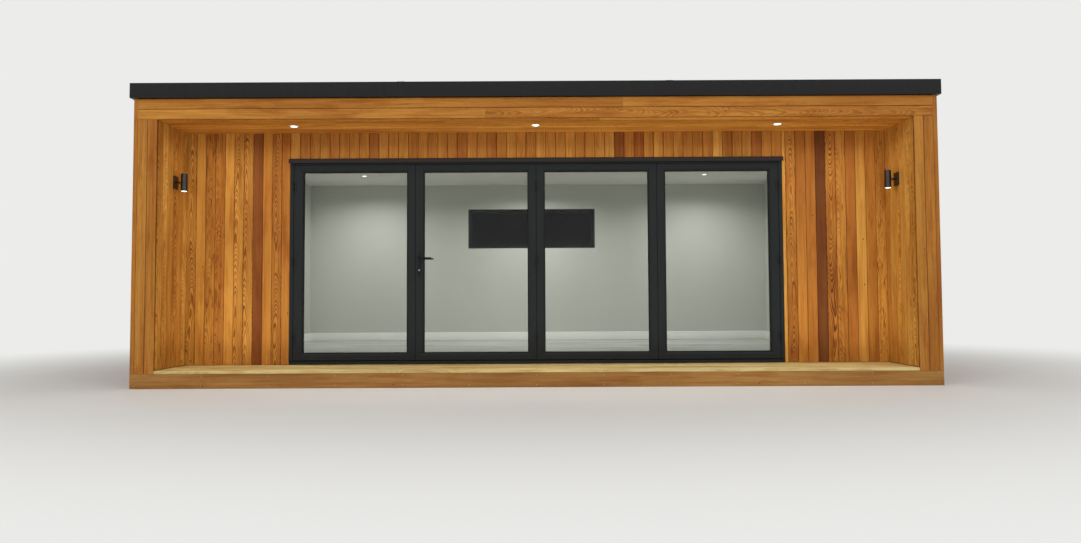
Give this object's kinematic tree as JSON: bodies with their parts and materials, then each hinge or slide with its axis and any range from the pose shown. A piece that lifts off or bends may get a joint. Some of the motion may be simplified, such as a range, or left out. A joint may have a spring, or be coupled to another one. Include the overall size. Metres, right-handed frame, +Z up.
{
  "type": "garden office pod",
  "caption": "Flat-roofed timber garden room with a recessed, lit cedar porch, folding glass doors and a rear slot window.",
  "frame": {"origin": "ground level at the middle of the bounding box seen from above", "axes": "+Z up, +X to the right seen from the front, -Y out of the porch and doors"},
  "size_m": [7.68, 5.05, 2.888],
  "materials": {
    "treated_timber": "sawn treated softwood",
    "deck_timber": "planed golden softwood",
    "panel_board": "bare strand board and timber",
    "laminate": "pale grey satin laminate",
    "cedar": "oiled cedar with varied boards",
    "plaster": "matt painted plasterboard",
    "white_paint": "white eggshell paint",
    "roof_rubber": "matt rubber sheet",
    "dark_trim": "dark satin powder coat",
    "anthracite": "anthracite satin powder coat",
    "clear_glass": "clear double glazing",
    "gasket_rubber": "black gasket",
    "handle_metal": "dark satin coating",
    "satin_steel": "brushed stainless steel",
    "lamp_white": "white ring with frosted lens"
  },
  "bodies": {
    "root": {"base_frame": "treated_timber", "plinth_boards": "deck_timber", "floor_panel": "panel_board", "floor_finish": "laminate", "porch_deck": "deck_timber", "left_wall": "panel_board", "right_wall": "panel_board", "rear_wall_left": "panel_board", "rear_wall_right": "panel_board", "rear_wall_sill": "panel_board", "rear_wall_head": "panel_board", "front_wall_left": "panel_board", "front_wall_right": "panel_board", "front_wall_head": "panel_board", "side_cladding": "cedar", "rear_cladding": "cedar", "front_cladding": "cedar", "cheek_linings": "cedar", "soffit_lining": "cedar", "surround_boards": "cedar", "fascia": "cedar", "corner_trims": "cedar", "wall_lining": "plaster", "ceiling": "plaster", "skirting": "white_paint", "roof_rim": "panel_board", "roof_panel": "panel_board", "roof_membrane": "roof_rubber", "roof_edge_trim": "dark_trim", "rear_gutter": "anthracite", "downpipe": "anthracite", "door_frame": "anthracite", "door_threshold": "anthracite", "head_flashing": "dark_trim", "door_leaf_1": "anthracite", "door_leaf_2": "anthracite", "door_leaf_3": "anthracite", "door_leaf_4": "anthracite", "door_glass": "clear_glass", "door_gaskets": "gasket_rubber", "door_hinges": "anthracite", "door_handle": "handle_metal", "window_frame": "anthracite", "window_glass": "clear_glass", "wall_lights": "satin_steel", "porch_downlights": "lamp_white", "room_downlights": "lamp_white"}
  },
  "joints": []
}
